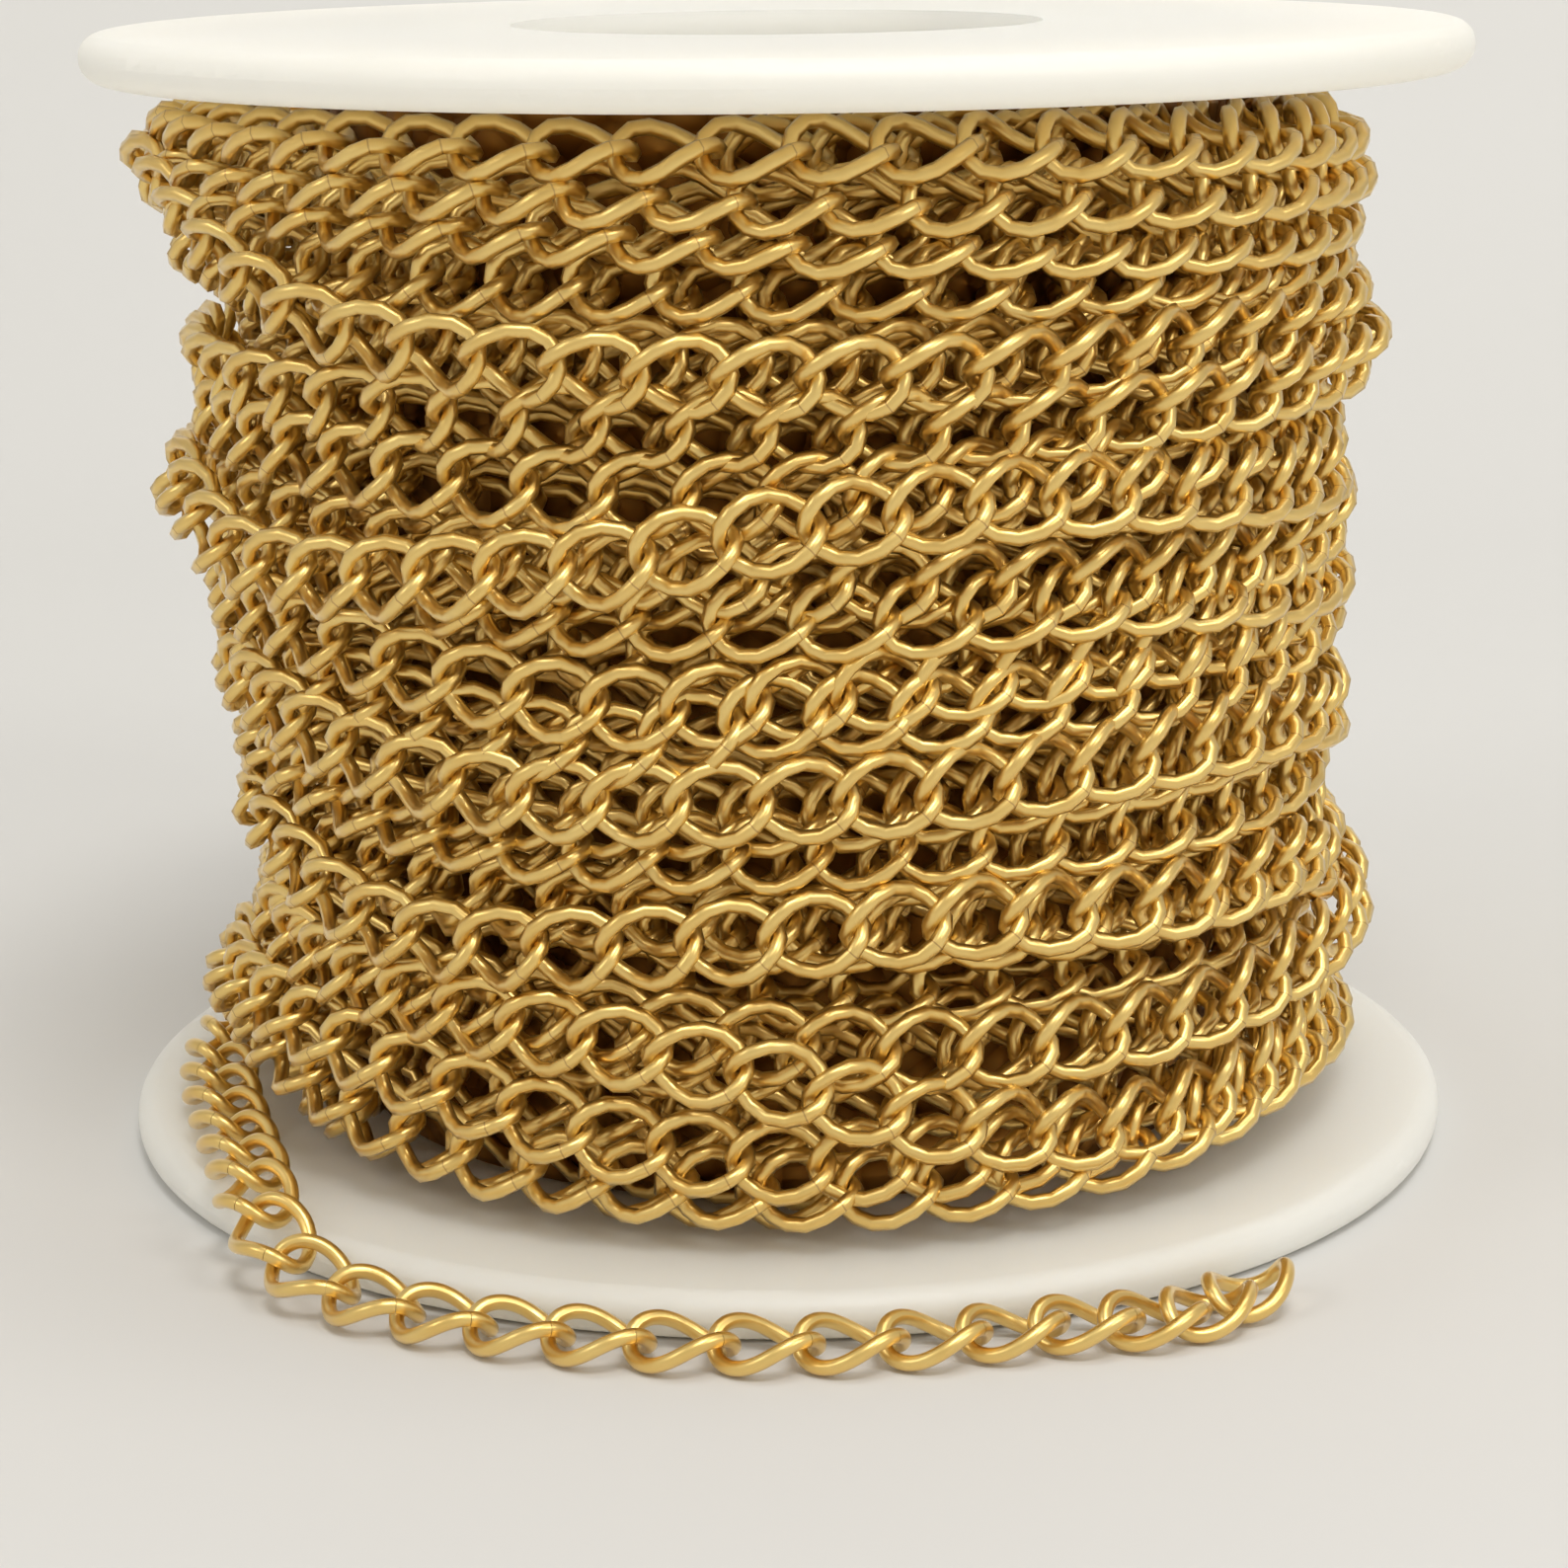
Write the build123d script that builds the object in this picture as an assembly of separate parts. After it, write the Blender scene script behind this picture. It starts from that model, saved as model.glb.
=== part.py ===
from build123d import *
import math
import os

# A twisted curb chain wound on a plain plastic spool, which stands on one of its flanges.
# The free end of the chain comes off the lowest turn, lies on the lower flange, drops over its
# rim and lies on the surface in front. Millimetres, +Z up, origin on the spool's axis at the
# surface, -Y is the front.

# Spool
flange_diameter = 70.0
flange_thickness = 2.3
rim_round = 1.1
spool_height = 57.5
drum_diameter = 31.0
drum_wall = 2.0

# Chain: round wire bent to an oval link, which is then twisted so that the chain lies flat
wire_diameter = 0.72
link_pitch = 3.82
link_width = 4.2
link_play = 0.18
link_twist = 88.0
seam_gap = 0.03
seam_turn = -38.0
outline_points = 16

# Winding
winding_radius = 29.5
winding_play = 0.12
turn_crest = 0.55
turn_depth = 2.6

# Outer turns from the top down. The heights to the left, in front and to the right are shares of
# the room between the flanges, and the two reaches are shares of the winding radius.
turn_table = [
    {"left": 0.963, "front": 0.963, "right": 0.960, "left_reach": 1.06, "right_reach": 0.98},
    {"left": 0.920, "front": 0.918, "right": 0.914, "left_reach": 1.08, "right_reach": 1.01},
    {"left": 0.875, "front": 0.872, "right": 0.868, "left_reach": 1.08, "right_reach": 1.00},
    {"left": 0.832, "front": 0.838, "right": 0.830, "left_reach": 1.06, "right_reach": 0.97},
    {"left": 0.788, "front": 0.790, "right": 0.786, "left_reach": 1.01, "right_reach": 1.01},
    {"left": 0.740, "front": 0.738, "right": 0.733, "left_reach": 1.00, "right_reach": 1.04},
    {"left": 0.680, "front": 0.686, "right": 0.675, "left_reach": 1.03, "right_reach": 0.98},
    {"left": 0.618, "front": 0.636, "right": 0.620, "left_reach": 1.08, "right_reach": 0.99},
    {"left": 0.562, "front": 0.584, "right": 0.568, "left_reach": 1.06, "right_reach": 1.01},
    {"left": 0.507, "front": 0.531, "right": 0.517, "left_reach": 1.00, "right_reach": 1.00},
    {"left": 0.454, "front": 0.477, "right": 0.466, "left_reach": 0.98, "right_reach": 0.96},
    {"left": 0.400, "front": 0.419, "right": 0.408, "left_reach": 0.99, "right_reach": 0.96},
    {"left": 0.346, "front": 0.358, "right": 0.350, "left_reach": 0.93, "right_reach": 1.00},
    {"left": 0.291, "front": 0.296, "right": 0.290, "left_reach": 0.95, "right_reach": 0.94},
    {"left": 0.236, "front": 0.234, "right": 0.230, "left_reach": 0.96, "right_reach": 0.99},
    {"left": 0.182, "front": 0.174, "right": 0.171, "left_reach": 0.98, "right_reach": 1.03},
    {"left": 0.126, "front": 0.114, "right": 0.113, "left_reach": 1.00, "right_reach": 1.01},
    {"left": 0.066, "front": 0.056, "right": 0.060, "left_reach": 0.94, "right_reach": 0.93},
]

# Route of the chain's free end: degrees round the spool from the front, with the left side
# negative. Way is the share of the way from the winding out to the rim, and past is how far it
# lies beyond the rim. Step is the share of the flange's thickness that it stands on, and rise is
# how far the wire's underside is above that. Past and rise are counted in link widths. Roll is
# how far the flat of the chain is turned towards the front, in degrees, and hang is the share of
# the full pitch at which the links hang in each other there.
tail_route = [
    {"turn": -113.0, "way": -0.018, "past": 0.000, "step": 1.00, "rise": 0.190, "roll": 0.0, "hang": 1.00},
    {"turn": -104.0, "way": 0.085, "past": 0.000, "step": 1.00, "rise": 0.182, "roll": 0.0, "hang": 1.00},
    {"turn": -92.0, "way": 0.195, "past": 0.000, "step": 1.00, "rise": 0.182, "roll": 0.0, "hang": 1.00},
    {"turn": -78.0, "way": 0.220, "past": 0.000, "step": 1.00, "rise": 0.182, "roll": 0.0, "hang": 1.00},
    {"turn": -68.0, "way": 0.285, "past": 0.000, "step": 1.00, "rise": 0.182, "roll": 0.0, "hang": 1.00},
    {"turn": -60.0, "way": 0.436, "past": 0.000, "step": 1.00, "rise": 0.182, "roll": 0.0, "hang": 1.00},
    {"turn": -53.0, "way": 0.690, "past": 0.000, "step": 1.00, "rise": 0.190, "roll": 2.0, "hang": 1.00},
    {"turn": -47.5, "way": 0.970, "past": 0.000, "step": 1.00, "rise": 0.214, "roll": 4.0, "hang": 1.00},
    {"turn": -43.0, "way": 1.000, "past": 0.400, "step": 0.62, "rise": 0.235, "roll": 8.0, "hang": 0.98},
    {"turn": -38.0, "way": 1.000, "past": 0.590, "step": 0.16, "rise": 0.226, "roll": 8.0, "hang": 0.98},
    {"turn": -32.0, "way": 1.000, "past": 0.580, "step": 0.00, "rise": 0.195, "roll": 4.0, "hang": 1.00},
    {"turn": -25.0, "way": 1.000, "past": 0.550, "step": 0.00, "rise": 0.176, "roll": 1.0, "hang": 1.00},
    {"turn": -10.0, "way": 1.000, "past": 0.540, "step": 0.00, "rise": 0.172, "roll": 1.0, "hang": 1.00},
    {"turn": 4.0, "way": 1.000, "past": 0.540, "step": 0.00, "rise": 0.172, "roll": 1.0, "hang": 1.00},
    {"turn": 13.0, "way": 1.000, "past": 0.540, "step": 0.00, "rise": 0.172, "roll": -2.0, "hang": 0.94},
    {"turn": 18.6, "way": 1.000, "past": 0.560, "step": 0.00, "rise": 0.182, "roll": -3.0, "hang": 0.86},
    {"turn": 23.2, "way": 1.000, "past": 0.780, "step": 0.00, "rise": 0.190, "roll": 0.0, "hang": 0.80},
    {"turn": 27.4, "way": 1.000, "past": 0.920, "step": 0.00, "rise": 0.175, "roll": 2.0, "hang": 0.78},
    {"turn": 32.0, "way": 1.000, "past": 0.780, "step": 0.00, "rise": 0.180, "roll": -4.0, "hang": 0.78},
    {"turn": 37.0, "way": 1.000, "past": 0.560, "step": 0.00, "rise": 0.200, "roll": -6.0, "hang": 0.82},
    {"turn": 42.0, "way": 1.000, "past": 0.560, "step": 0.00, "rise": 0.210, "roll": -6.0, "hang": 0.82},
]
tail_links = 25

flange_radius = flange_diameter / 2
drum_radius = drum_diameter / 2
bore_radius = drum_radius - drum_wall
winding_room = spool_height - 2 * flange_thickness


def flange():
    """One flange: a flat disc with a rounded rim and the open bore through its middle."""
    disc = Cylinder(flange_radius, flange_thickness, align=(Align.CENTER, Align.CENTER, Align.MIN))
    rim_edges = disc.edges().filter_by(GeomType.CIRCLE)
    disc = fillet(rim_edges, min(rim_round, 0.48 * flange_thickness))
    bore = Cylinder(bore_radius, flange_thickness, align=(Align.CENTER, Align.CENTER, Align.MIN))
    return disc - bore


def drum():
    """The hollow core that joins the two flanges and carries the winding."""
    tube = Cylinder(drum_radius, winding_room, align=(Align.CENTER, Align.CENTER, Align.MIN))
    bore = Cylinder(bore_radius, winding_room, align=(Align.CENTER, Align.CENTER, Align.MIN))
    return Pos(0, 0, flange_thickness) * (tube - bore)


def ring(left_height, front_height, right_height, left_reach, right_reach):
    """A circle round the drum through three heights, set off its axis to reach both sides."""
    radius = (left_reach + right_reach) / 2
    middle = (left_height + right_height) / 2
    side_slope = (right_height - left_height) / (left_reach + right_reach)
    front_slope = (middle - front_height) / radius
    centre_x = (right_reach - left_reach) / 2
    plane = Plane(
        origin=(centre_x, 0, middle),
        x_dir=(1, 0, side_slope),
        z_dir=(-side_slope, -front_slope, 1),
    )
    return Wire.make_circle(radius, plane)


def turn_ring(turn, rise, sink):
    """A ring at one turn of the table, raised or lowered along the drum and sunk inwards."""
    heights = [flange_thickness + turn[side] * winding_room + rise for side in ("left", "front", "right")]
    reaches = [turn[side] * winding_radius - sink for side in ("left_reach", "right_reach")]
    return ring(*heights, *reaches)


def wound_chain():
    """All wound turns of the chain as one bundle, with a ridge for each outer turn."""
    low_end = flange_thickness + winding_play
    high_end = spool_height - flange_thickness - winding_play
    end_reach = turn_table[0]["right_reach"] * winding_radius - turn_depth
    rings = [ring(high_end, high_end, high_end, end_reach, end_reach)]
    for number, turn in enumerate(turn_table):
        if number:
            above = turn_table[number - 1]
            valley = {name: (turn[name] + above[name]) / 2 for name in turn}
            rings.append(turn_ring(valley, 0, turn_depth))
        rings.append(turn_ring(turn, turn_crest, 0))
        rings.append(turn_ring(turn, -turn_crest, 0))
    end_reach = turn_table[-1]["right_reach"] * winding_radius - turn_depth
    rings.append(ring(low_end, low_end, low_end, end_reach, end_reach))
    bundle = Solid.make_loft(rings, ruled=True)
    core = Cylinder(drum_radius + winding_play, 2 * spool_height)
    return bundle - core


def link():
    """One link, lying flat along X with its twist, cut through once where its ends butt."""
    half_length = (link_pitch + wire_diameter + link_play) / 2
    half_width = (link_width - wire_diameter) / 2
    gap_turn = math.degrees(seam_gap / half_width)
    outline = []
    for number in range(outline_points + 1):
        turn = math.radians(seam_turn + gap_turn / 2 + (360 - gap_turn) * number / outline_points)
        along = half_length * math.cos(turn)
        across = half_width * math.sin(turn)
        angle = math.radians(-link_twist / 2 * along / half_length)
        outline.append(Vector(along, across * math.cos(angle), across * math.sin(angle)))
    path = Spline(*outline)
    section = Plane(origin=path @ 0, z_dir=path % 0) * Circle(wire_diameter / 2)
    return sweep(section, path=path)


def route_place(reach):
    """Where the free end runs at one place of its route, counted in whole and part points."""
    first = min(int(reach), len(tail_route) - 2)
    part = reach - first
    here, there = tail_route[first], tail_route[first + 1]
    point = {name: here[name] + part * (there[name] - here[name]) for name in here}
    turn = math.radians(point["turn"])
    out = winding_radius + point["way"] * (flange_radius - winding_radius) + point["past"] * link_width
    height = point["step"] * flange_thickness + point["rise"] * link_width + wire_diameter / 2
    place = Vector(out * math.sin(turn), -out * math.cos(turn), height)
    return place, point["roll"], point["hang"]


def tail_joints():
    """The points where the links of the free end hang in each other, a pitch or less apart."""
    reach = 0.0
    joints = [route_place(reach)]
    while len(joints) < tail_links + 1:
        low, high = reach, reach + 2
        pitch = link_pitch * joints[-1][2]
        for _ in range(30):
            middle = (low + high) / 2
            if (route_place(middle)[0] - joints[-1][0]).length < pitch:
                low = middle
            else:
                high = middle
        reach = low
        joints.append(route_place(reach))
    return joints


def tail():
    """The links of the free end, each laid between two joints of its route."""
    plain_link = link()
    joints = tail_joints()
    placed = []
    for (start, start_roll, _), (end, end_roll, _) in zip(joints, joints[1:]):
        along = (end - start).normalized()
        flat = Vector(0, 0, 1) - along * along.Z
        upright = Plane(origin=(start + end) / 2, x_dir=along, z_dir=flat)
        roll = (start_roll + end_roll) / 2
        placed.append(upright.location * Rot(roll, 0, 0) * plain_link)
    return placed


def main():
    os.makedirs("parts", exist_ok=True)
    export_step(flange(), "parts/lower_flange.step")
    export_step(Pos(0, 0, spool_height - flange_thickness) * flange(), "parts/upper_flange.step")
    export_step(drum(), "parts/drum.step")
    export_step(wound_chain(), "parts/wound_chain.step")
    for number, tail_link in enumerate(tail(), start=1):
        export_step(tail_link, f"parts/tail_link_{number:02d}.step")


main()
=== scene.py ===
import math

import bpy
import numpy as np
from mathutils import Matrix, Vector


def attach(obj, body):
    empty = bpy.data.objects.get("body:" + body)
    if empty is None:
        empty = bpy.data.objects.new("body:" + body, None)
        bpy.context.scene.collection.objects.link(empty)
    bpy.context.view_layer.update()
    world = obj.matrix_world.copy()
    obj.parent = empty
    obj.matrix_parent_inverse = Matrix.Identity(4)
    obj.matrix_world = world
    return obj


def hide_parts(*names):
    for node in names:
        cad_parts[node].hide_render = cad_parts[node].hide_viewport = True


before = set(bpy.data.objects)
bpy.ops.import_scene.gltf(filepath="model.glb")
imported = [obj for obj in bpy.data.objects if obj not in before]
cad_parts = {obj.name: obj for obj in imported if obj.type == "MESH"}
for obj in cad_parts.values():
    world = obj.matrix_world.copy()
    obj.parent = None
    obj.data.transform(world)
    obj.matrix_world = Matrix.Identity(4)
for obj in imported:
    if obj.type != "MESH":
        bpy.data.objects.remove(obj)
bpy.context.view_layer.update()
MM = 0.001

# Spool: two thin round flanges with rounded rims on a hollow drum, moulded in milky white plastic.
# The skin has a soft sheen and faint marks where the plastic flowed in the mould, and it lets a
# little light through.

milk_tone = (0.825, 0.82, 0.775, 1)
milk_shade = (0.81, 0.80, 0.745, 1)
milk_sheen = (0.38, 0.48)
milk_depth = 6 * MM
milk_depth_by_colour = (1.0, 0.95, 0.85)
flow_marks_a_metre = 45
mould_grain_a_metre = 700
mould_grain_depth = 0.03 * MM
mould_grain_strength = 0.10


def start_material(name):
    """A new material with its nodes, its links and its shader."""
    material = bpy.data.materials.new(name)
    material.use_nodes = True
    nodes = material.node_tree.nodes
    return material, nodes, material.node_tree.links, nodes["Principled BSDF"]


def place_noise(nodes, links, spots_a_metre, detail):
    """Noise over the object's own coordinates."""
    place = nodes.new("ShaderNodeTexCoord")
    noise = nodes.new("ShaderNodeTexNoise")
    noise.inputs["Scale"].default_value = spots_a_metre
    noise.inputs["Detail"].default_value = detail
    links.new(place.outputs["Object"], noise.inputs["Vector"])
    return noise


def tint(nodes, links, noise, low, high, shader):
    """Lets the noise shift the shader's colour between two tones."""
    noise_low, noise_high = 0.3, 0.7
    ramp = nodes.new("ShaderNodeValToRGB")
    ramp.color_ramp.elements[0].position = noise_low
    ramp.color_ramp.elements[1].position = noise_high
    ramp.color_ramp.elements[0].color = low
    ramp.color_ramp.elements[1].color = high
    links.new(noise.outputs["Fac"], ramp.inputs["Fac"])
    links.new(ramp.outputs["Color"], shader.inputs["Base Color"])
    return ramp


def vary_roughness(nodes, links, noise, low, high, shader):
    """Lets the noise shift the shader's roughness between two values."""
    spread = nodes.new("ShaderNodeMapRange")
    spread.inputs["To Min"].default_value = low
    spread.inputs["To Max"].default_value = high
    links.new(noise.outputs["Fac"], spread.inputs["Value"])
    links.new(spread.outputs["Result"], shader.inputs["Roughness"])


def roughen(nodes, links, noise, strength, depth, shader):
    """Raises fine relief from the noise, depth in metres."""
    bump = nodes.new("ShaderNodeBump")
    bump.inputs["Strength"].default_value = strength
    bump.inputs["Distance"].default_value = depth
    links.new(noise.outputs["Fac"], bump.inputs["Height"])
    links.new(bump.outputs["Normal"], shader.inputs["Normal"])


def milky_plastic():
    """Milky plastic with a soft sheen, faint flow marks and the fine grain of its mould."""
    material, nodes, links, shader = start_material("milky_plastic")
    shader.inputs["IOR"].default_value = 1.48
    shader.subsurface_method = "BURLEY"
    shader.inputs["Subsurface Weight"].default_value = 0.85
    shader.inputs["Subsurface Radius"].default_value = milk_depth_by_colour
    shader.inputs["Subsurface Scale"].default_value = milk_depth
    flow = place_noise(nodes, links, flow_marks_a_metre, detail=2)
    tint(nodes, links, flow, milk_shade, milk_tone, shader)
    vary_roughness(nodes, links, flow, *milk_sheen, shader)
    grain = place_noise(nodes, links, mould_grain_a_metre, detail=1)
    roughen(nodes, links, grain, mould_grain_strength, mould_grain_depth, shader)
    return material


spool_plastic = milky_plastic()
for spool_node in ("lower_flange", "upper_flange", "drum"):
    spool_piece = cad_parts[spool_node]
    spool_piece.data.materials.clear()
    spool_piece.data.materials.append(spool_plastic)

# Free end: 25 loose links of round brass wire, each bent to an oval, butted where its ends meet and
# twisted so that the chain lies flat. They are plated in gold and tumbled to a satin finish.

gold_tone = (0.87, 0.625, 0.195, 1)
gold_shade = (0.83, 0.55, 0.14, 1)
gold_sheen = (0.30, 0.40)
worn_spots_a_metre = 420

# The butt joint of a wound link: a dark line that fades out this share of the way to the next
# point on either side
seam_tone = (0.54, 0.32, 0.085, 1)
seam_line = 0.05


def satin_gold():
    """Satin gold plate, a little more worn in some spots, with a dark line at the butt joint."""
    material, nodes, links, shader = start_material("satin_gold")
    shader.inputs["Metallic"].default_value = 1.0
    wear = place_noise(nodes, links, worn_spots_a_metre, detail=2)
    plate = tint(nodes, links, wear, gold_shade, gold_tone, shader)
    shader.inputs["Coat Weight"].default_value = 1.0
    shader.inputs["Coat IOR"].default_value = 1.6
    shader.inputs["Coat Roughness"].default_value = 0.3
    vary_roughness(nodes, links, wear, *gold_sheen, shader)
    butt = nodes.new("ShaderNodeAttribute")
    butt.attribute_name = "seam"
    line = nodes.new("ShaderNodeMapRange")
    line.inputs["From Min"].default_value = 1 - seam_line
    line.inputs["From Max"].default_value = 1 - seam_line / 2
    links.new(butt.outputs["Fac"], line.inputs["Value"])
    shadow = nodes.new("ShaderNodeMix")
    shadow.data_type = "RGBA"
    shadow.inputs["B"].default_value = seam_tone
    links.new(line.outputs["Result"], shadow.inputs["Factor"])
    links.new(plate.outputs["Color"], shadow.inputs["A"])
    links.new(shadow.outputs["Result"], shader.inputs["Base Color"])
    return material


gold = satin_gold()
for node_name, node_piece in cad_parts.items():
    if node_name.startswith("tail_link"):
        node_piece.data.materials.clear()
        node_piece.data.materials.append(gold)

# Outer turns of the winding: the same chain, wound by a machine in loose rows that climb over each
# other. Each turn leans with its lower or its upper edge outwards where it rests on its neighbours.

link_pitch = 3.82 * MM
link_width = 4.2 * MM
wire_diameter = 0.72 * MM
link_play = 0.08 * MM
link_twist = math.radians(88)
seam_turn = math.radians(322)
outer_links = {"points_round": 16, "sides": 6, "looseness": math.radians(4)}

# Degrees round the spool from the front, left side negative, at which each turn is given
height_turns = (-75, -60, -45, -30, -15, 0, 15, 30, 45, 60, 75)
reach_turns = (-85, 0, 85, 180)
lean_turns = (-75, 0, 75)

# Every outer turn from the top down, in millimetres and degrees. Reach is the distance from the
# spool's axis at the left, in front, at the right and behind, and lean is how far the face of the
# chain looks up at the left, in front and at the right.
outer_turns = [
    {
        "heights": (53.3, 53.3, 53.3, 53.3, 53.3, 53.3, 53.3, 53.1, 52.8, 52.6, 52.4),
        "reach": (29.9, 29.3, 28.1, 28.2), "lean": (72, 62, 50),
    },
    {
        "heights": (51.7, 51.6, 51.5, 51.6, 51.5, 51.2, 51.0, 50.9, 50.7, 50.7, 50.6),
        "reach": (30.1, 29.8, 28.6, 29.2), "lean": (68, 58, 45),
    },
    {
        "heights": (50.2, 50.2, 50.1, 50.0, 49.8, 49.5, 49.2, 48.8, 48.5, 48.3, 48.3),
        "reach": (30.2, 29.7, 28.0, 28.4), "lean": (64, 54, 45),
    },
    {
        "heights": (47.6, 47.5, 47.3, 47.5, 47.6, 47.6, 47.4, 47.2, 46.9, 46.7, 46.6),
        "reach": (29.9, 29.0, 27.8, 29.3), "lean": (10, 42, 45),
    },
    {
        "heights": (46.0, 45.7, 45.2, 44.6, 44.2, 44.0, 43.9, 44.3, 44.9, 45.0, 44.7),
        "reach": (28.2, 28.3, 27.8, 28.1), "lean": (-20, -20, -15),
    },
    {
        "heights": (51.0, 48.3, 45.4, 44.3, 43.8, 43.5, 43.5, 43.8, 44.0, 43.8, 43.4),
        "reach": (31.8, 30.4, 28.9, 29.8), "lean": (-25, -25, -25),
    },
    {
        "heights": (41.2, 41.2, 41.3, 41.4, 41.3, 41.0, 41.0, 41.0, 41.2, 41.3, 41.2),
        "reach": (29.5, 29.2, 30.0, 28.2), "lean": (-15, -20, -25),
    },
    {
        "heights": (38.9, 38.8, 38.5, 38.3, 38.1, 38.0, 38.3, 38.6, 38.8, 38.8, 38.6),
        "reach": (29.3, 29.0, 27.6, 29.4), "lean": (5, 10, 25),
    },
    {
        "heights": (35.4, 35.2, 34.9, 34.8, 34.8, 34.2, 33.8, 33.3, 33.2, 33.0, 32.9),
        "reach": (29.0, 28.4, 28.7, 28.0), "lean": (10, -5, -10),
    },
    {
        "heights": (33.4, 33.3, 33.0, 32.6, 32.4, 32.4, 32.3, 32.5, 31.8, 30.9, 30.2),
        "reach": (27.8, 28.6, 28.3, 29.3), "lean": (20, 35, 35),
    },
    {
        "heights": (35.6, 33.2, 33.2, 34.1, 35.1, 36.9, 37.7, 37.7, 36.9, 36.2, 35.7),
        "reach": (31.2, 30.6, 28.4, 30.9), "lean": (15, 15, 10),
    },
    {
        "heights": (30.0, 30.2, 29.6, 28.9, 28.2, 28.8, 29.4, 29.6, 29.6, 29.6, 29.6),
        "reach": (29.0, 29.2, 27.4, 28.2), "lean": (10, 15, 20),
    },
    {
        "heights": (27.5, 27.6, 27.4, 26.7, 26.3, 28.4, 28.0, 28.1, 28.0, 28.2, 28.8),
        "reach": (27.7, 29.3, 28.2, 29.2), "lean": (20, 20, 10),
    },
    {
        "heights": (26.0, 25.7, 24.8, 24.0, 24.0, 24.4, 24.6, 25.0, 25.0, 24.7, 23.0),
        "reach": (28.7, 30.3, 28.6, 28.2), "lean": (10, 5, 5),
    },
    {
        "heights": (23.4, 23.4, 23.2, 22.8, 22.8, 23.2, 23.5, 23.6, 23.6, 23.6, 23.4),
        "reach": (26.8, 27.9, 26.9, 29.0), "lean": (30, 30, 30),
    },
    {
        "heights": (22.5, 22.3, 21.7, 21.4, 21.4, 21.6, 21.7, 21.2, 21.0, 20.9, 21.0),
        "reach": (27.5, 28.7, 27.3, 28.0), "lean": (35, 35, 30),
    },
    {
        "heights": (18.8, 18.8, 18.5, 18.4, 18.4, 18.0, 17.3, 17.2, 17.0, 16.8, 16.4),
        "reach": (26.8, 27.9, 28.2, 29.4), "lean": (15, 20, 30),
    },
    {
        "heights": (19.0, 18.0, 16.3, 16.2, 17.1, 18.0, 18.5, 17.9, 17.3, 17.4, 14.8),
        "reach": (27.9, 30.2, 28.6, 28.4), "lean": (5, 5, 5),
    },
    {
        "heights": (14.6, 14.2, 13.7, 13.3, 13.0, 12.3, 11.7, 11.5, 11.6, 12.2, 12.4),
        "reach": (26.7, 28.6, 30.2, 29.3), "lean": (15, 15, 5),
    },
    {
        "heights": (13.2, 13.1, 13.0, 12.8, 12.4, 11.1, 8.4, 7.0, 6.9, 7.6, 7.6),
        "reach": (27.2, 30.4, 28.3, 28.3), "lean": (10, 10, 15),
    },
    {
        "heights": (9.4, 10.3, 9.8, 8.9, 7.6, 6.9, 6.5, 6.3, 6.3, 6.4, 6.4),
        "reach": (29.7, 29.6, 26.4, 28.9), "lean": (35, 22, 15),
    },
    {
        "heights": (7.9, 7.5, 6.3, 5.6, 5.5, 5.3, 5.2, 5.4, 6.0, 6.9, 6.5),
        "reach": (28.9, 28.9, 28.7, 28.6), "lean": (25, 42, 40),
    },
]

# Where the winding hands over to the free end: the last wound link lies flat on the lower flange.
# Settling is how many degrees before that the chain has its reach, its lean, and its height but
# for the settling drop.
handover = {"turn": 243.3, "height": 3.46, "reach": 29.35, "lean": 90}
settling = {"height": 35, "reach": 40, "lean": 30}
settling_drop = 0.1

# Degrees from where the winding begins to the front of the first turn, and degrees over which the
# marks of a turn are smoothed
lead_in = 120
outer_easing = 7


def maths(tree, operation, first, second=None):
    """One step of arithmetic in a node tree, on sockets or plain numbers."""
    node = tree.nodes.new("ShaderNodeMath")
    node.operation = operation
    for socket, value in zip(node.inputs, (first, second)):
        if isinstance(value, (int, float)):
            socket.default_value = value
        elif value is not None:
            tree.links.new(value, socket)
    return node.outputs[0]


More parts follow.
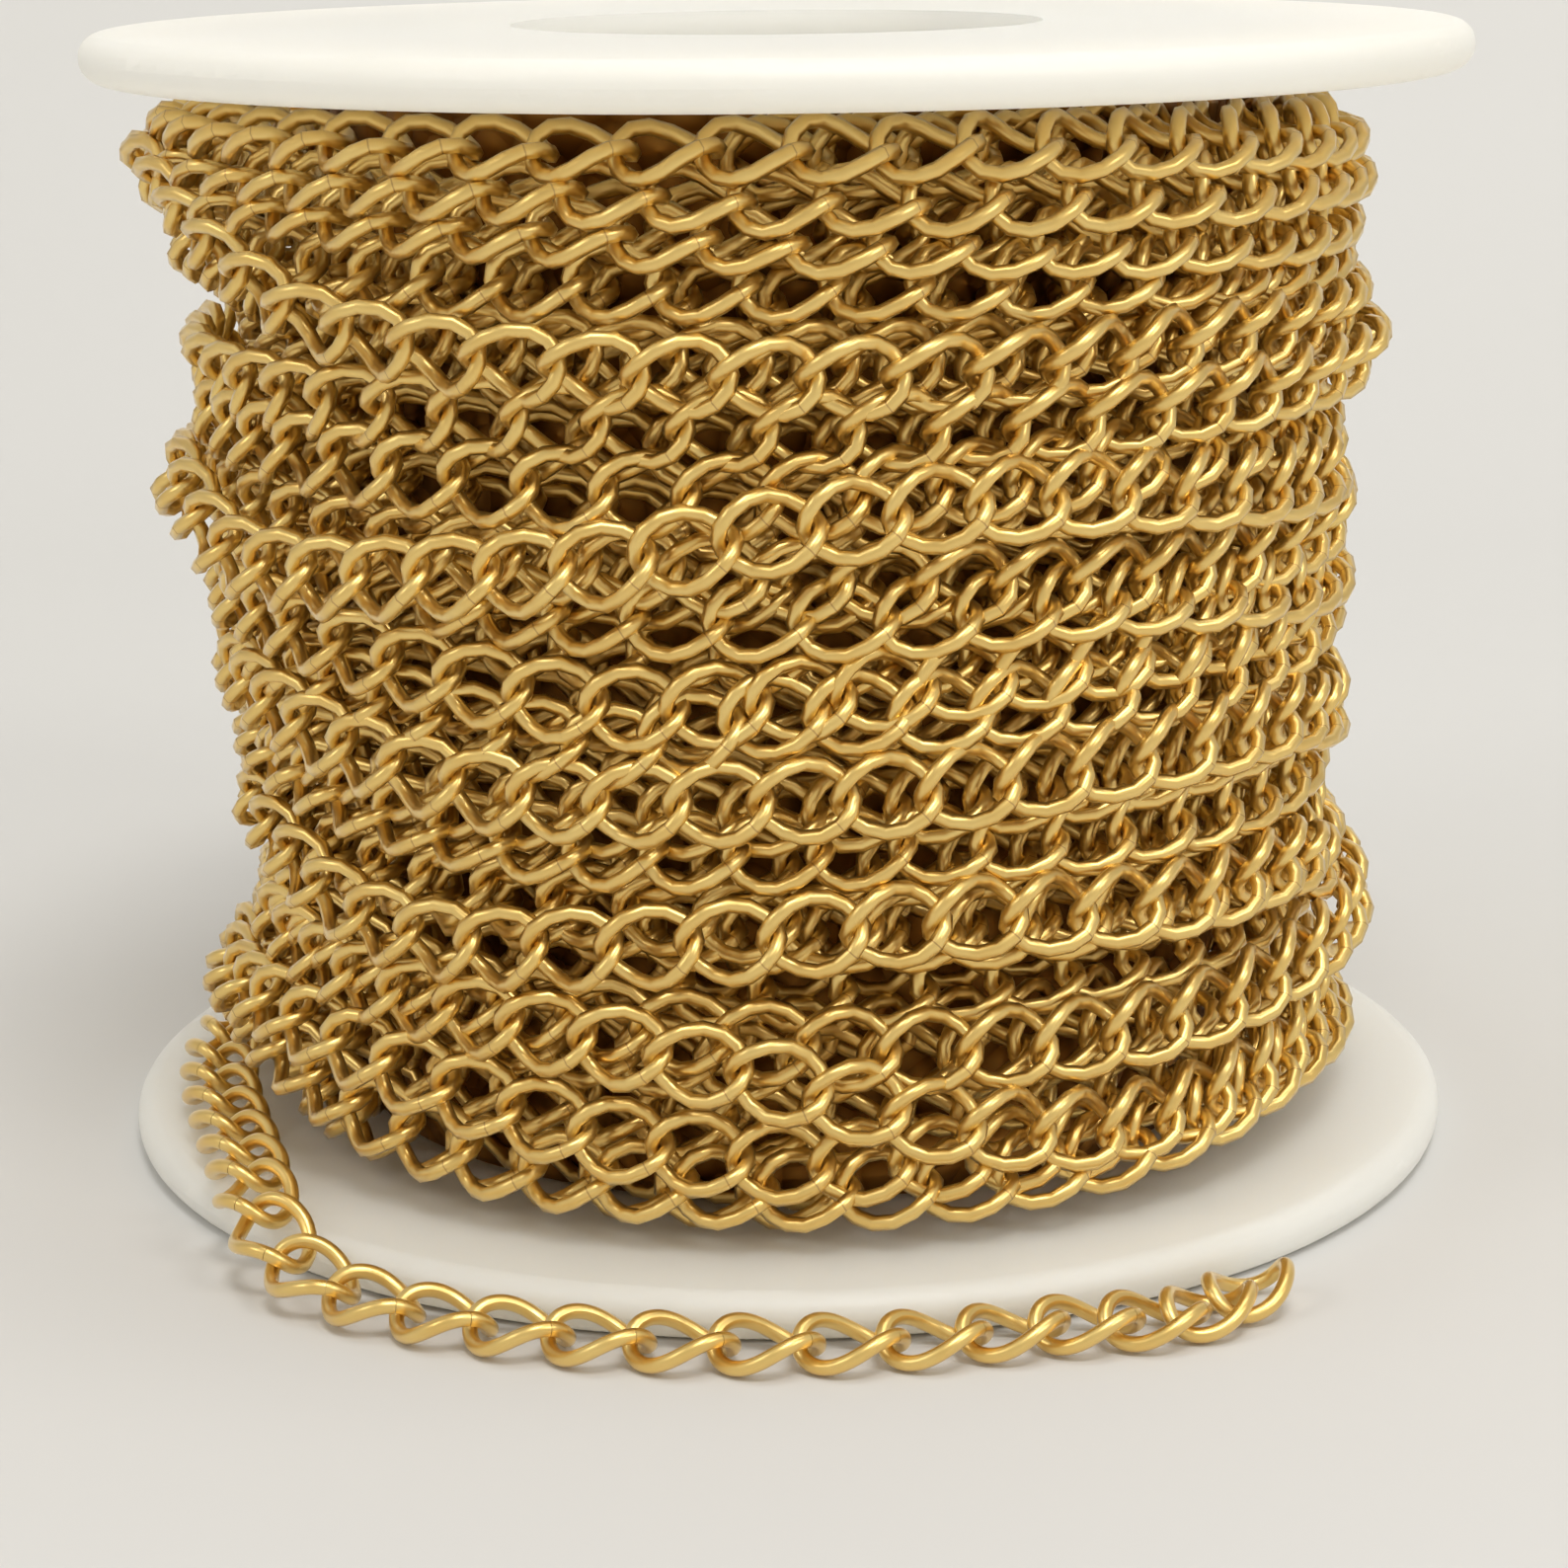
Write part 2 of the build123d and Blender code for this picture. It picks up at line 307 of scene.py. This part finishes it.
def chain_tree():
    """Geometry Nodes that hang twisted links on a path, one link a pitch."""
    tree = bpy.data.node_groups.new("chain_on_path", "GeometryNodeTree")
    for name, kind in (
        ("Path", "Geometry"), ("Link pitch", "Float"), ("Link width", "Float"),
        ("Wire diameter", "Float"), ("Link play", "Float"), ("Twist", "Float"),
        ("Seam turn", "Float"), ("Points round link", "Int"), ("Sides of wire", "Int"),
        ("Looseness", "Float"), ("Seed", "Int"), ("Metal", "Material"),
    ):
        tree.interface.new_socket(name, in_out="INPUT", socket_type=f"NodeSocket{kind}")
    tree.interface.new_socket("Chain", in_out="OUTPUT", socket_type="NodeSocketGeometry")

    def node(kind, **settings):
        made = tree.nodes.new(kind)
        for name, value in settings.items():
            setattr(made, name, value)
        return made

    def join(source, target):
        tree.links.new(source, target)

    given = node("NodeGroupInput").outputs

    # One link: a round of points, stretched to an oval and twisted
    clear_width = maths(tree, "SUBTRACT", given["Link width"], given["Wire diameter"])
    half_width = maths(tree, "DIVIDE", clear_width, 2)
    wire_and_play = maths(tree, "ADD", given["Wire diameter"], given["Link play"])
    clear_length = maths(tree, "ADD", given["Link pitch"], wire_and_play)
    half_length = maths(tree, "DIVIDE", clear_length, 2)
    outline = node("GeometryNodeCurvePrimitiveCircle", mode="RADIUS")
    join(given["Points round link"], outline.inputs["Resolution"])
    outline.inputs["Radius"].default_value = 1
    spot = node("ShaderNodeSeparateXYZ")
    join(node("GeometryNodeInputPosition").outputs[0], spot.inputs[0])
    along = maths(tree, "MULTIPLY", half_length, spot.outputs["X"])
    across = maths(tree, "MULTIPLY", half_width, spot.outputs["Y"])
    turned = maths(tree, "MULTIPLY", given["Twist"], maths(tree, "DIVIDE", spot.outputs["X"], -2))
    twisted = node("ShaderNodeCombineXYZ")
    join(along, twisted.inputs["X"])
    join(maths(tree, "MULTIPLY", across, maths(tree, "COSINE", turned)), twisted.inputs["Y"])
    join(maths(tree, "MULTIPLY", across, maths(tree, "SINE", turned)), twisted.inputs["Z"])

    # Its butt joint, marked on the one point that lies nearest
    turn_share = maths(tree, "DIVIDE", given["Seam turn"], 2 * math.pi)
    seam_place = maths(tree, "MULTIPLY", given["Points round link"], turn_share)
    seam_point = maths(tree, "ROUND", seam_place)
    at_seam = maths(tree, "COMPARE", node("GeometryNodeInputIndex").outputs[0], seam_point)
    seam = node("GeometryNodeStoreNamedAttribute", data_type="FLOAT", domain="POINT")
    seam.inputs["Name"].default_value = "seam"
    join(outline.outputs["Curve"], seam.inputs["Geometry"])
    join(at_seam, seam.inputs["Value"])
    bend = node("GeometryNodeSetPosition")
    join(seam.outputs[0], bend.inputs["Geometry"])
    join(twisted.outputs[0], bend.inputs["Position"])

    # Its wire, whose flat sides lie as far inside the round one as its corners lie outside
    wire = node("GeometryNodeCurvePrimitiveCircle", mode="RADIUS")
    join(given["Sides of wire"], wire.inputs["Resolution"])
    flat_share = maths(tree, "COSINE", maths(tree, "DIVIDE", math.pi, given["Sides of wire"]))
    flat_and_corner = maths(tree, "ADD", 1, flat_share)
    corner_reach = maths(tree, "DIVIDE", given["Wire diameter"], flat_and_corner)
    join(corner_reach, wire.inputs["Radius"])
    link = node("GeometryNodeCurveToMesh")
    join(bend.outputs[0], link.inputs["Curve"])
    join(wire.outputs["Curve"], link.inputs["Profile Curve"])

    # Links on the path, each turned to its direction and to the way that the chain faces there
    line = node("GeometryNodeMeshToCurve")
    join(given["Path"], line.inputs["Mesh"])
    steps = node("GeometryNodeResampleCurve", mode="LENGTH")
    join(line.outputs[0], steps.inputs["Curve"])
    join(given["Link pitch"], steps.inputs["Length"])
    ahead = node("FunctionNodeAlignRotationToVector", axis="X")
    join(node("GeometryNodeInputTangent").outputs[0], ahead.inputs["Vector"])
    faced = node("FunctionNodeAlignRotationToVector", axis="Z", pivot_axis="X")
    join(ahead.outputs[0], faced.inputs["Rotation"])
    face = node("GeometryNodeInputNamedAttribute", data_type="FLOAT_VECTOR")
    face.inputs["Name"].default_value = "face"
    join(face.outputs[0], faced.inputs["Vector"])
    hung = node("GeometryNodeInstanceOnPoints")
    join(steps.outputs[0], hung.inputs["Points"])
    join(link.outputs[0], hung.inputs["Instance"])
    join(faced.outputs[0], hung.inputs["Rotation"])

    # Each link sways a little within its neighbours
    chance = node("FunctionNodeRandomValue", data_type="FLOAT_VECTOR")
    chance.inputs[0].default_value = (-1, -1, -1)
    chance.inputs[1].default_value = (1, 1, 1)
    join(given["Seed"], chance.inputs["Seed"])
    sway = node("ShaderNodeVectorMath", operation="SCALE")
    join(chance.outputs[0], sway.inputs[0])
    join(given["Looseness"], sway.inputs["Scale"])
    loose = node("GeometryNodeRotateInstances")
    join(hung.outputs[0], loose.inputs["Instances"])
    join(sway.outputs[0], loose.inputs["Rotation"])
    loose.inputs["Local Space"].default_value = True

    real = node("GeometryNodeRealizeInstances")
    join(loose.outputs[0], real.inputs[0])
    smooth = node("GeometryNodeSetShadeSmooth")
    join(real.outputs[0], smooth.inputs["Geometry"])
    metal = node("GeometryNodeSetMaterial")
    join(smooth.outputs[0], metal.inputs["Geometry"])
    join(given["Metal"], metal.inputs["Material"])
    join(metal.outputs[0], node("NodeGroupOutput").inputs[0])
    return tree


chain_nodes = chain_tree()


def hang_chain(name, places, faces, points_round, sides, looseness, seed):
    """A piece of chain along a path: places in metres, and the way that the chain faces at each."""
    path = bpy.data.meshes.new(name + "_path")
    path.from_pydata([tuple(p) for p in places], [(i, i + 1) for i in range(len(places) - 1)], [])
    facing = path.attributes.new("face", "FLOAT_VECTOR", "POINT")
    facing.data.foreach_set("vector", np.asarray(faces, np.float32).ravel())
    route = bpy.data.objects.new(name + "_route", path)
    bpy.context.scene.collection.objects.link(route)
    hang = route.modifiers.new("chain", "NODES")
    hang.node_group = chain_nodes
    inputs = [s for s in chain_nodes.interface.items_tree if s.in_out == "INPUT"]
    sockets = {s.name: s.identifier for s in inputs}
    for socket, value in {
        "Link pitch": link_pitch, "Link width": link_width, "Wire diameter": wire_diameter,
        "Link play": link_play, "Twist": link_twist, "Seam turn": seam_turn,
        "Points round link": points_round, "Sides of wire": sides,
        "Looseness": looseness, "Seed": seed, "Metal": gold,
    }.items():
        hang[sockets[socket]] = value
    graph = bpy.context.evaluated_depsgraph_get()
    mesh = bpy.data.meshes.new_from_object(route.evaluated_get(graph), depsgraph=graph)
    mesh.name = name
    if "face" in mesh.attributes:
        mesh.attributes.remove(mesh.attributes["face"])
    chain = bpy.data.objects.new(name, mesh)
    bpy.context.scene.collection.objects.link(chain)
    bpy.data.objects.remove(route)
    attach(chain, "root")
    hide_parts("wound_chain")


def ease(values, width):
    """Smooths a row of values over a window, twice, keeping its ends."""
    window = np.ones(width) / width
    margin = width // 2
    for _ in range(2):
        before = np.full(margin, values[0])
        after = np.full(margin, values[-1])
        values = np.convolve(np.concatenate([before, values, after]), window, "valid")
    return values


def winding_path(turns, heights, reaches, leans, width):
    """Places and faces of a wound chain, a degree apart, from its marks round the drum."""
    degrees = np.arange(turns[0], turns[-1] + 0.5)
    marks = (heights, reaches, leans)
    height, reach, lean = (ease(np.interp(degrees, *pair), width) for pair in marks)
    around, lean = np.radians(degrees), np.radians(lean)
    out = np.stack([np.sin(around), -np.cos(around), np.zeros_like(around)], 1)
    places = out * reach[:, None] * MM
    places[:, 2] = height * MM
    faces = out * np.cos(lean)[:, None]
    faces[:, 2] = np.sin(lean)
    return places, faces


def outer_path():
    """The route of all outer turns, from under the upper flange to the free end."""
    heights, reaches, leans = [], [], []
    for number, turn in enumerate(outer_turns):
        start = 360 * number
        heights += [(start + t, h) for t, h in zip(height_turns, turn["heights"])]
        reaches += [(start + t, r) for t, r in zip(reach_turns, turn["reach"])]
        leans += [(start + t, a) for t, a in zip(lean_turns, turn["lean"])]
    end = 360 * (len(outer_turns) - 1) + handover["turn"]
    heights.append((end - settling["height"], handover["height"] + settling_drop))
    heights.append((end, handover["height"]))
    # The handover takes the place of the last turn's reach behind
    reaches[-1] = (end - settling["reach"], handover["reach"])
    reaches.append((end, handover["reach"]))
    leans.append((end - settling["lean"], handover["lean"]))
    leans.append((end, handover["lean"]))
    marks = [tuple(zip(*rows)) for rows in (heights, reaches, leans)]
    return winding_path((-lead_in, end), *marks, outer_easing)


# The turns are two pieces, so that neither has too many triangles. The lower one starts a link on
# from the end of the upper one.
outer_places, outer_faces = outer_path()
half_way = len(outer_places) // 2
hang_chain("outer_turns_upper", outer_places[:half_way], outer_faces[:half_way], **outer_links, seed=3)
run = np.cumsum(np.linalg.norm(np.diff(outer_places[half_way - 1:], axis=0), axis=1))
next_link = half_way + int(np.searchsorted(run, link_pitch))
hang_chain("outer_turns_lower", outer_places[next_link:], outer_faces[next_link:], **outer_links, seed=5)

# Inner turns of the winding: two more layers of the same chain, seen only through the gaps between
# the outer turns. They are wound evenly from flange to flange.

inner_links = {"points_round": 13, "sides": 6, "looseness": math.radians(6)}
inner_easing = 15

# Millimetres and degrees: the lowest and the highest turn, how far apart the marks are, and how
# far each strays from an even row
inner_foot = 4.5
inner_head = 53.0
marks_apart = 30
strays = {"height": 0.35, "reach": 0.25, "lean": 12}


def inner_layer(name, reach, row_gap, lean, seed):
    """One even layer of turns between the flanges."""
    end = 360 * int((inner_head - inner_foot) / row_gap)
    turns = np.arange(0, end + 1, marks_apart)
    chance = np.random.default_rng(seed)

    def astray(most):
        return chance.uniform(-most, most, len(turns))

    heights = np.interp(turns, (0, end), (inner_head, inner_foot)) + astray(strays["height"])
    heights = np.clip(heights, inner_foot, inner_head)
    reaches = reach + astray(strays["reach"])
    leans = lean + astray(strays["lean"])
    marks = [(turns, values) for values in (heights, reaches, leans)]
    places, faces = winding_path((0, end), *marks, inner_easing)
    hang_chain(name, places, faces, **inner_links, seed=seed)


inner_layer("second_layer", reach=26.6, row_gap=3.1, lean=35, seed=11)
inner_layer("third_layer", reach=24.3, row_gap=3.4, lean=-25, seed=12)

# Packed core of the winding: the rest of the chain, packed tight round the drum where no light
# reaches. It shows only as a ground behind the layers, so it is one sleeve with the chain's relief
# in its finish. Its colour is painted shade: the gold darkened to stand for the shadow deep in the
# winding, with painted shadow darkest between the packed links.

core_bore = 15.7 * MM
core_reach = 22.9 * MM
core_foot = 2.5 * MM
core_head = 55.0 * MM
core_swell = 0.35 * MM
# Painted shade: both tones are the gold darkened by the shadow deep in the winding, the second one
# darker still as painted shadow in the gaps between packed links
packed_shaded_tone = (0.55, 0.27, 0.06, 1)
packed_gap_shadow = (0.17, 0.065, 0.010, 1)
packed_links_a_metre = 480
packed_relief = 0.8 * MM


def packed_gold_in_painted_shade():
    """Gold darkened into painted shade, with the relief of packed links and painted shadow between them.
    """
    material, nodes, links, shader = start_material("packed_gold_in_painted_shade")
    shader.inputs["Metallic"].default_value = 1.0
    shader.inputs["Roughness"].default_value = 0.5
    place = nodes.new("ShaderNodeTexCoord")
    cells = nodes.new("ShaderNodeTexVoronoi")
    cells.inputs["Scale"].default_value = packed_links_a_metre
    links.new(place.outputs["Object"], cells.inputs["Vector"])
    # Painted shadow: darker towards the edge of each cell, where the packed links meet
    ramp = nodes.new("ShaderNodeValToRGB")
    ramp.color_ramp.elements[0].color = packed_shaded_tone
    ramp.color_ramp.elements[1].color = packed_gap_shadow
    ramp.color_ramp.elements[1].position = 0.75
    links.new(cells.outputs["Distance"], ramp.inputs["Fac"])
    links.new(ramp.outputs["Color"], shader.inputs["Base Color"])
    bump = nodes.new("ShaderNodeBump")
    bump.invert = True
    bump.inputs["Strength"].default_value = 0.9
    bump.inputs["Distance"].default_value = packed_relief
    links.new(cells.outputs["Distance"], bump.inputs["Height"])
    links.new(bump.outputs["Normal"], shader.inputs["Normal"])
    return material


def core_sleeve():
    """A closed sleeve whose side swells and sinks a little on its way up."""
    steps_up, steps_a_swell, steps_round = 44, 3, 96
    profile = [(core_bore, core_foot), (core_reach, core_foot)]
    for step in range(1, steps_up):
        share = step / steps_up
        swell = core_swell * math.sin(math.pi * steps_up / steps_a_swell * share)
        profile.append((core_reach + swell, core_foot + share * (core_head - core_foot)))
    profile += [(core_reach, core_head), (core_bore, core_head)]
    corners, faces = [], []
    for step in range(steps_round):
        turn = 2 * math.pi * step / steps_round
        corners += [(r * math.sin(turn), -r * math.cos(turn), z) for r, z in profile]
    count = len(profile)
    for step in range(steps_round):
        here, there = step * count, (step + 1) % steps_round * count
        for k in range(count):
            after = (k + 1) % count
            faces.append((here + k, there + k, there + after, here + after))
    mesh = bpy.data.meshes.new("packed_core")
    mesh.from_pydata(corners, [], faces)
    mesh.polygons.foreach_set("use_smooth", [True] * len(mesh.polygons))
    mesh.materials.append(packed_gold_in_painted_shade())
    sleeve = bpy.data.objects.new("packed_core", mesh)
    bpy.context.scene.collection.objects.link(sleeve)
    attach(sleeve, "root")
    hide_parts("wound_chain")


core_sleeve()

# Table, light and camera: the spool stands on plain pale paper that sweeps up behind it, in soft
# even light from above and both sides, with one more light on the paper behind. The camera looks
# down on it a little, as the photograph's does.

paper_tone = (0.71, 0.705, 0.69, 1)
paper_shade = (0.69, 0.685, 0.665, 1)
paper_clouds_a_metre = 6
paper_front = -1.2
paper_side = 1.4
paper_top = 0.9
paper_bend_start = 0.16
paper_bend_radius = 0.22


def paper_sweep():
    """A pale sheet that lies flat under the spool and curves up behind it."""
    bend_steps = 16
    line = [(paper_front, 0.0), (paper_bend_start, 0.0)]
    for step in range(1, bend_steps + 1):
        turn = math.pi / 2 * step / bend_steps
        back = paper_bend_start + paper_bend_radius * math.sin(turn)
        line.append((back, paper_bend_radius * (1 - math.cos(turn))))
    line.append((paper_bend_start + paper_bend_radius, paper_top))
    corners = [(x, y, z) for y, z in line for x in (-paper_side, paper_side)]
    faces = [(2 * i, 2 * i + 1, 2 * i + 3, 2 * i + 2) for i in range(len(line) - 1)]
    mesh = bpy.data.meshes.new("paper")
    mesh.from_pydata(corners, [], faces)
    mesh.polygons.foreach_set("use_smooth", [True] * len(mesh.polygons))
    material, nodes, links, shader = start_material("pale_paper")
    shader.inputs["Roughness"].default_value = 0.85
    clouds = place_noise(nodes, links, paper_clouds_a_metre, detail=1)
    tint(nodes, links, clouds, paper_shade, paper_tone, shader)
    mesh.materials.append(material)
    paper = bpy.data.objects.new("paper", mesh)
    bpy.context.scene.collection.objects.link(paper)


paper_sweep()

# Place, aim and size in metres
soft_boxes = [
    {
        "name": "top_box", "place": (0.10, -0.435, 0.83), "aim": (0, 0, 0.02),
        "size": (0.285, 0.21), "watts": 2.4, "colour": (1.0, 0.985, 0.96),
    },
    {
        "name": "left_box", "place": (-0.46, -0.28, 0.42), "aim": (0, 0, 0.03),
        "size": (0.18, 0.18), "watts": 0.38, "colour": (1.0, 0.98, 0.95),
    },
    {
        "name": "right_box", "place": (0.42, -0.38, 0.42), "aim": (0, 0, 0.03),
        "size": (0.20, 0.20), "watts": 0.75, "colour": (1.0, 0.98, 0.95),
    },
    {
        "name": "back_box", "place": (0.14, 0.02, 0.75), "aim": (0.13, 0.40, 0.10),
        "size": (0.50, 0.20), "watts": 1.1, "colour": (1.0, 0.985, 0.97),
    },
]

for box in soft_boxes:
    light = bpy.data.lights.new(box["name"], "AREA")
    light.shape = "RECTANGLE"
    light.size, light.size_y = box["size"]
    light.energy = box["watts"]
    light.color = box["colour"]
    lamp = bpy.data.objects.new(box["name"], light)
    direction = Vector(box["aim"]) - Vector(box["place"])
    lamp.matrix_world = Matrix.LocRotScale(
        Vector(box["place"]), direction.to_track_quat("-Z", "Y"), None
    )
    bpy.context.scene.collection.objects.link(lamp)

# The room's own light, warm at table height, darker and greyer towards the ceiling
room_table_tone = (0.86, 0.82, 0.74, 1)
room_ceiling_tone = (0.60, 0.59, 0.57, 1)
room_strength = 0.85

room = bpy.data.worlds.new("studio")
room.use_nodes = True
room_nodes = room.node_tree.nodes
room_links = room.node_tree.links
way = room_nodes.new("ShaderNodeTexCoord")
rise = room_nodes.new("ShaderNodeSeparateXYZ")
fade = room_nodes.new("ShaderNodeValToRGB")
fade.color_ramp.elements[0].position = 0.0
fade.color_ramp.elements[0].color = room_table_tone
fade.color_ramp.elements[1].position = 0.85
fade.color_ramp.elements[1].color = room_ceiling_tone
room_links.new(way.outputs["Generated"], rise.inputs[0])
room_links.new(rise.outputs["Z"], fade.inputs["Fac"])
room_links.new(fade.outputs["Color"], room_nodes["Background"].inputs["Color"])
room_nodes["Background"].inputs["Strength"].default_value = room_strength
bpy.context.scene.world = room

# The default view transform turns the gold khaki, so the lights above are set for the plain one
bpy.context.scene.view_settings.view_transform = "Standard"

camera_place = (0.0, -0.1899, 0.0660)
camera_down = math.radians(14.334)
camera_aside = math.radians(-0.013)
camera_roll = math.radians(-0.638)
lens_in_pixels = 3706.75
photo_pixels = 1588
film_width_in_mm = 36

camera = bpy.data.objects.new("camera", bpy.data.cameras.new("camera"))
camera.data.sensor_width = film_width_in_mm
camera.data.lens = lens_in_pixels / photo_pixels * film_width_in_mm
camera.data.clip_start = 10 * MM
ahead = Vector((
    math.sin(camera_aside) * math.cos(camera_down),
    math.cos(camera_aside) * math.cos(camera_down),
    -math.sin(camera_down),
))
level = Vector((math.cos(camera_aside), -math.sin(camera_aside), 0))
upright = level.cross(ahead)
right = level * math.cos(camera_roll) + upright * math.sin(camera_roll)
up = upright * math.cos(camera_roll) - level * math.sin(camera_roll)
turned_camera = Matrix((right, up, -ahead)).transposed().to_4x4()
camera.matrix_world = Matrix.Translation(camera_place) @ turned_camera
bpy.context.scene.collection.objects.link(camera)
bpy.context.scene.camera = camera
